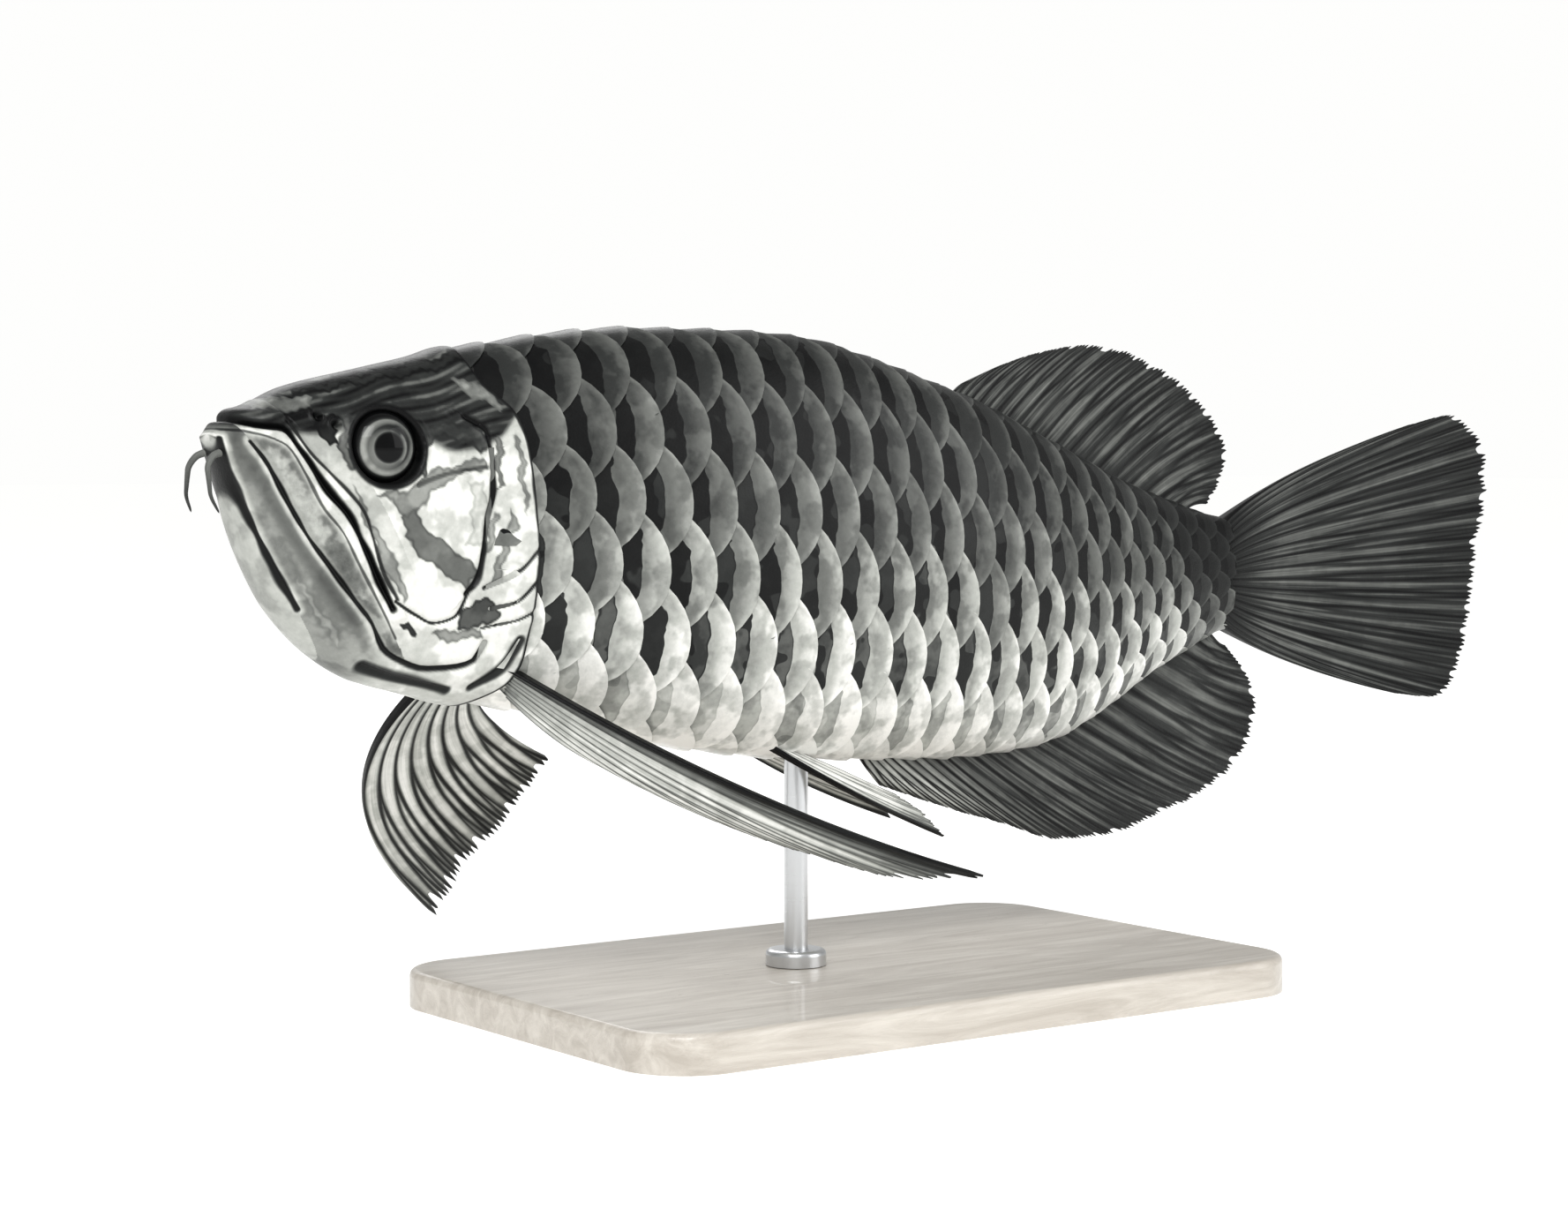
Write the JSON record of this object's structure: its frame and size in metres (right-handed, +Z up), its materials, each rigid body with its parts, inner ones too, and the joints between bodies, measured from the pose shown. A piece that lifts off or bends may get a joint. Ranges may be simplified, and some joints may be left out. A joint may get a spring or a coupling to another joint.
{
  "type": "fish",
  "caption": "Asian arowana swimming with its fins spread, life size, held over a flat display base by one short rod.",
  "frame": {"origin": "centre of the underside of the display base", "axes": "+Z up; the fish heads along -X and its left side faces -Y"},
  "size_m": [0.6445, 0.2361, 0.2533],
  "materials": {
    "skin": "gloss",
    "fin": "satin",
    "eye": "gloss",
    "base_wood": "satin",
    "rod_metal": "brushed"
  },
  "bodies": {
    "root": {"head": "skin", "lower_jaw": "skin", "maxilla_left": "skin", "maxilla_right": "skin", "gill_cover_left": "skin", "gill_cover_right": "skin", "eye_left": "eye", "eye_right": "eye", "barbel_left": "skin", "barbel_right": "skin", "trunk_front": "skin", "trunk_rear": "skin", "tail_stalk": "skin", "dorsal_fin": "fin", "anal_fin": "fin", "tail_fin": "fin", "pectoral_fin_left": "fin", "pectoral_fin_right": "fin", "pelvic_fin_left": "fin", "pelvic_fin_right": "fin", "stand_base": "base_wood", "stand_rod": "rod_metal"}
  },
  "joints": []
}
